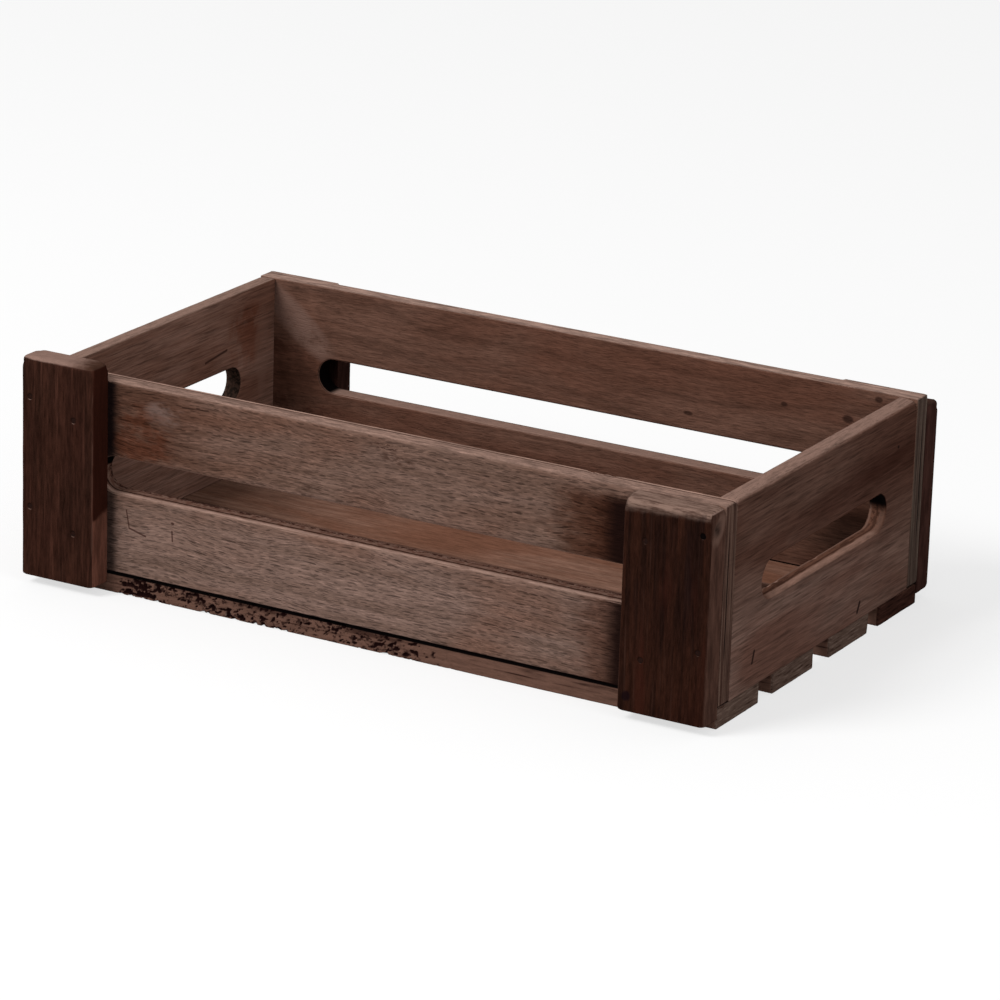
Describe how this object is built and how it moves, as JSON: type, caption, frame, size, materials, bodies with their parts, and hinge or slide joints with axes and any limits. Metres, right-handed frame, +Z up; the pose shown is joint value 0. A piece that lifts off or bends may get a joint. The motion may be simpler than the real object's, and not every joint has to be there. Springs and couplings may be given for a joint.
{
  "type": "wooden bread crate",
  "caption": "Shallow slatted wooden crate for loaves, with a long slot in each side, a handle slot in each end and outer corner posts.",
  "frame": {"origin": "middle of the crate's base, on the underside of the floor slats", "axes": "+X along the length, towards the right end board, +Y towards the back side panel, +Z up"},
  "size_m": [0.4, 0.253, 0.1235],
  "materials": {
    "side_wood": "stained plywood, grain along the length, dull",
    "end_wood": "stained board, fine grain across the crate, dull",
    "post_wood": "dark stained batten, upright grain, dull",
    "slat_wood": "rough sawn slat, stained, dull",
    "nail_steel": "darkened steel"
  },
  "bodies": {
    "root": {"front_side_panel": "side_wood", "back_side_panel": "side_wood", "left_end_board": "end_wood", "right_end_board": "end_wood", "front_left_post": "post_wood", "front_right_post": "post_wood", "back_left_post": "post_wood", "back_right_post": "post_wood", "bottom_slat_1": "slat_wood", "bottom_slat_2": "slat_wood", "bottom_slat_3": "slat_wood", "bottom_slat_4": "slat_wood", "corner_nails": "nail_steel", "post_nails": "nail_steel", "side_slat_nails": "nail_steel", "end_slat_nails": "nail_steel"}
  },
  "joints": []
}
